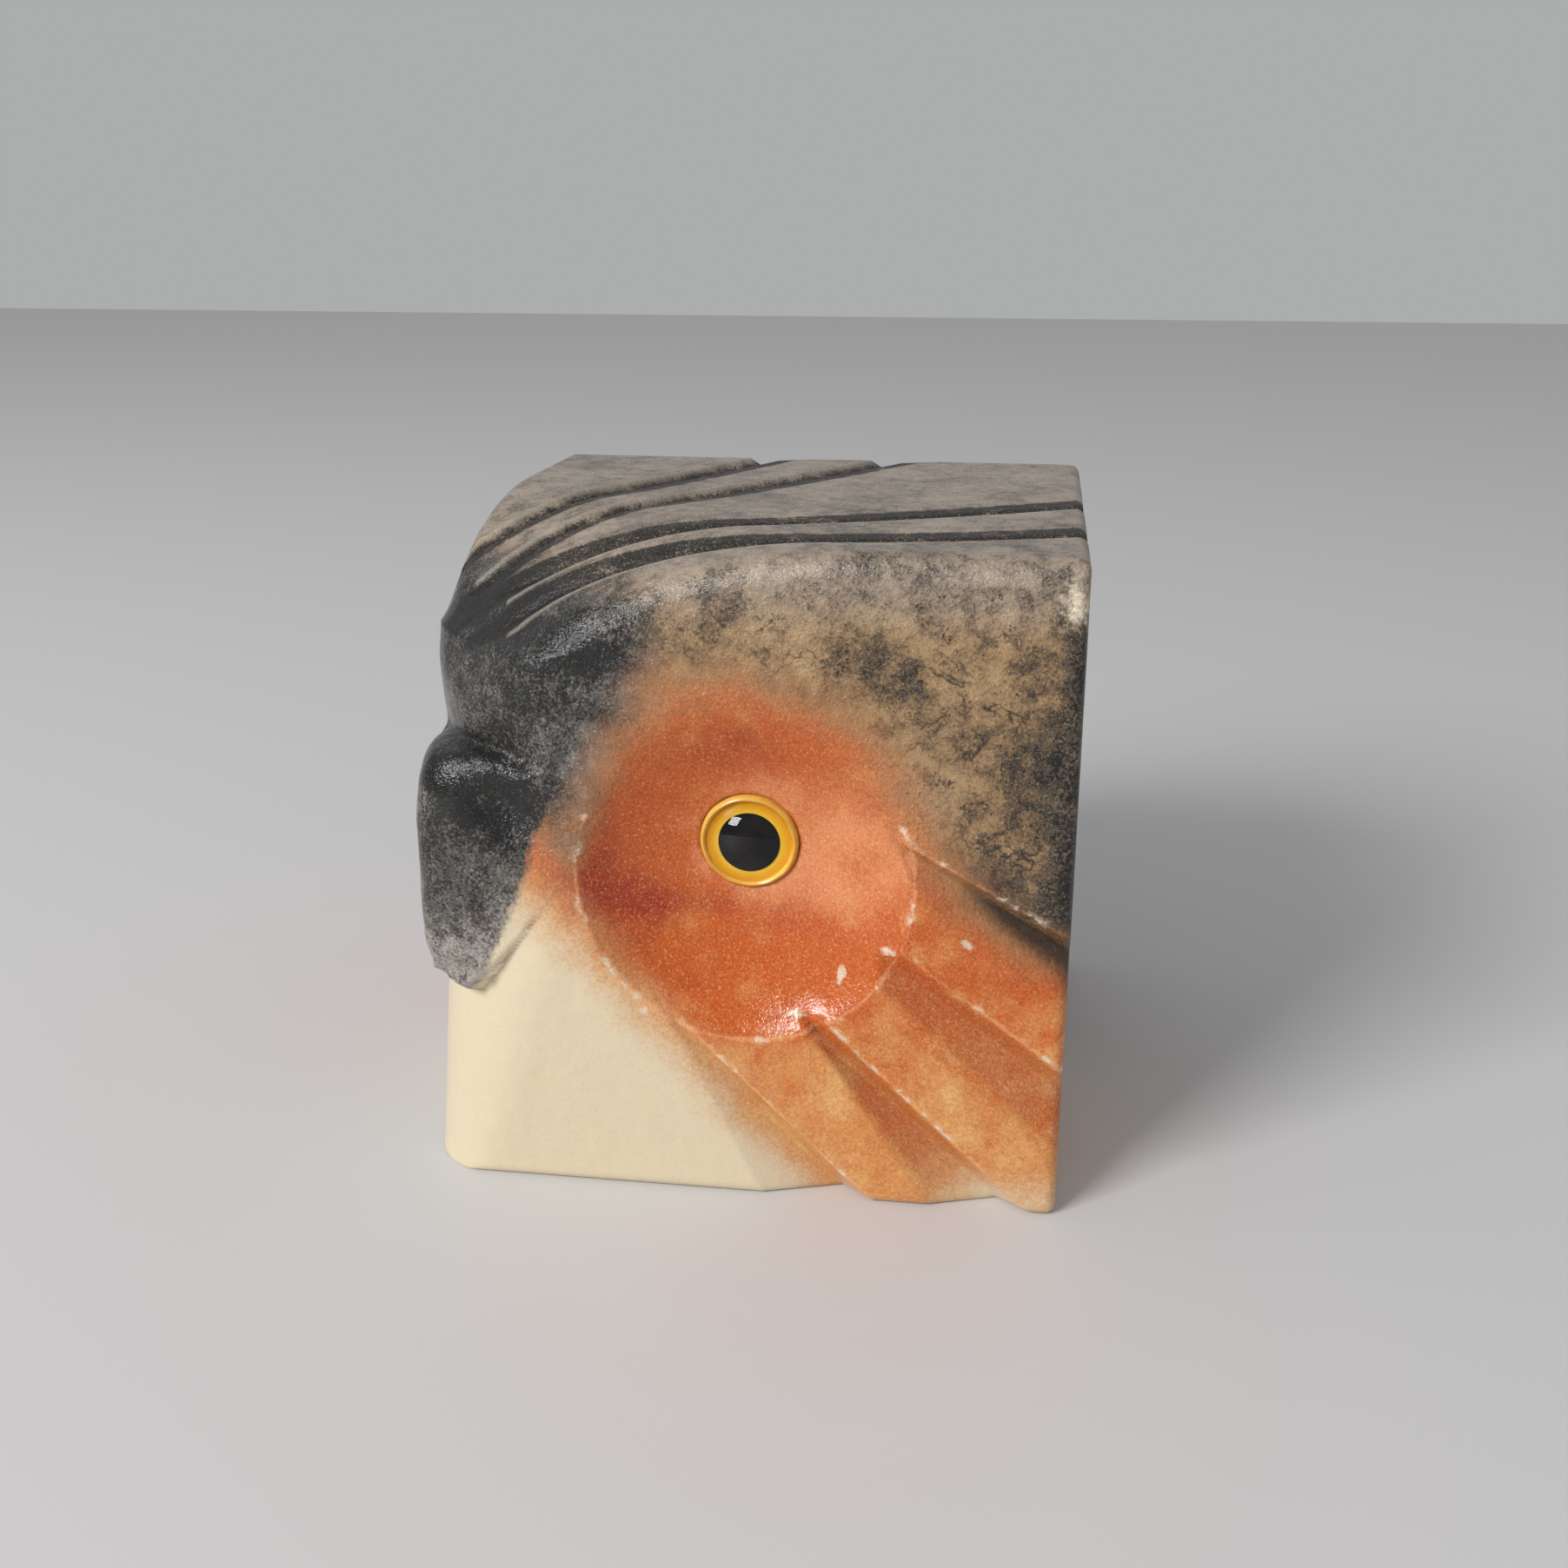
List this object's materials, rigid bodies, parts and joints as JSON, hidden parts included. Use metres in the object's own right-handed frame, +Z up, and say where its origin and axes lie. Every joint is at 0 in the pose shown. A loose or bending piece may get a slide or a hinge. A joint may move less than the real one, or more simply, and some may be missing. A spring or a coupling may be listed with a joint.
{
  "type": "owl head sculpture",
  "caption": "Owl head carved on the corner of a standing stone block: hooked beak, glass eyes in round dishes, cheek feathers, crown steps and flat sawn backs.",
  "frame": {"origin": "centre of the block's underside, on the surface that it stands on", "axes": "+Z up; the beak lies on the upright corner at -X and -Y, the carved faces look to -Y and -X, and the flat sawn faces look to +X and +Y"},
  "size_m": [0.1186, 0.1186, 0.12],
  "materials": {
    "stone": "satin polished, banded from dark grey over orange to cream",
    "eye_glass": "clear polished dome over an amber ring and a black pupil"
  },
  "bodies": {
    "root": {"stone_head": "stone", "left_eye": "eye_glass", "right_eye": "eye_glass"}
  },
  "joints": []
}
